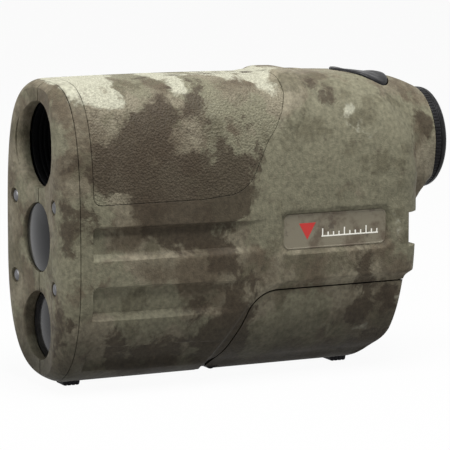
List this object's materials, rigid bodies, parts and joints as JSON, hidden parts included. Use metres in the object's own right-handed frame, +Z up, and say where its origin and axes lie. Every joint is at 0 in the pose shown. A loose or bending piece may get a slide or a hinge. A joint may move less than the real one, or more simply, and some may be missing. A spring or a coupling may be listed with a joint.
{
  "type": "laser rangefinder",
  "caption": "Hand-held laser rangefinder: view scope over laser and receiver lenses, battery door pod with a hinge, fire button and turning eyepiece focus ring.",
  "frame": {"origin": "centre of the bottom of the bounding box, on the plane that the two feet stand on", "axes": "+Z up, -Y out of the lens end, +Y out of the eyepiece, +X to the user's left as they look through the eyepiece (the side with the badge that is shown)"},
  "size_m": [0.043, 0.107, 0.0745],
  "materials": {
    "armour_camo": "matte rubber armour with a mottled grey-green and brown pattern",
    "saddle_camo": "fine leather-grained rubber panel, mottled brown and grey-green",
    "badge": "recessed satin badge plate",
    "black_plastic": "black moulded plastic",
    "black_rubber": "soft black rubber",
    "black_anodised": "black anodised, matt inside",
    "steel": "plated steel",
    "lens_glass": "coated optical glass",
    "filter_glass": "coloured filter glass",
    "board_green": "circuit board",
    "chip_black": "moulded chip packages",
    "can_gold": "gold plated can",
    "capacitor_sleeve": "shrink sleeve",
    "battery_case": "printed steel can without markings",
    "wire_red": "insulated wire",
    "foam": "foam pad"
  },
  "bodies": {
    "housing": {"left_shell": "armour_camo", "right_shell": "armour_camo", "nose_left": "armour_camo", "nose_right": "armour_camo", "nose_screws": "steel", "saddle_panel": "saddle_camo", "left_badge": "badge", "right_badge": "badge", "lanyard_bar": "steel", "front_foot": "black_rubber", "hinge_pin": "steel", "objective_hood": "black_anodised", "objective_cell": "black_anodised", "objective_lens": "lens_glass", "objective_retainer": "black_anodised", "scope_body": "black_anodised", "front_prism": "lens_glass", "roof_prism": "lens_glass", "prism_clip": "steel", "display_glass": "lens_glass", "display_frame": "black_plastic", "eyepiece_barrel": "black_anodised", "field_lens": "lens_glass", "snap_ring": "steel", "transmit_tube": "black_anodised", "transmit_lens": "lens_glass", "laser_diode": "can_gold", "laser_board": "board_green", "receive_tube": "black_anodised", "receive_lens": "lens_glass", "band_filter": "filter_glass", "detector": "steel", "detector_board": "board_green", "main_board": "board_green", "board_chips": "chip_black", "storage_capacitor": "capacitor_sleeve", "board_screws": "steel", "battery_bay": "black_plastic", "battery_9v": "battery_case", "snap_connector": "black_plastic", "battery_leads": "wire_red", "switch_board": "board_green", "switch_body": "black_plastic"},
    "button": {"fire_button": "black_rubber", "switch_plunger": "wire_red"},
    "focus": {"focus_ring": "black_plastic", "eyecup": "black_rubber"},
    "cell": {"eyepiece_cell": "black_anodised", "eye_lens": "lens_glass", "focus_pin": "steel"},
    "door": {"battery_door": "armour_camo", "door_frame": "black_plastic", "battery_pad": "foam", "rear_foot": "black_rubber"}
  },
  "joints": [
    {"name": "fire_button_press", "type": "slide", "parent": "housing", "child": "button", "axis": [0, 0, -1], "range_m": [0, 0.0008], "stiffness_N_per_m": 1500, "springref_m": -0.0004},
    {"name": "focus_turn", "type": "hinge", "parent": "housing", "child": "focus", "pos_m": [0, 0.0505, 0.0555], "axis": [0, 1, 0], "range_deg": [-90, 90]},
    {"name": "eyepiece_slide", "type": "slide", "parent": "housing", "child": "cell", "axis": [0, 1, 0], "range_m": [-0.0015, 0.0015]},
    {"name": "battery_door_hinge", "type": "hinge", "parent": "housing", "child": "door", "pos_m": [0, -0.0096, 0.0034], "axis": [-1, 0, 0], "range_deg": [0, 95]}
  ],
  "couplings": [
    {"joint": "focus_turn", "follows": "eyepiece_slide", "rad_per_m": 1047.1}
  ]
}
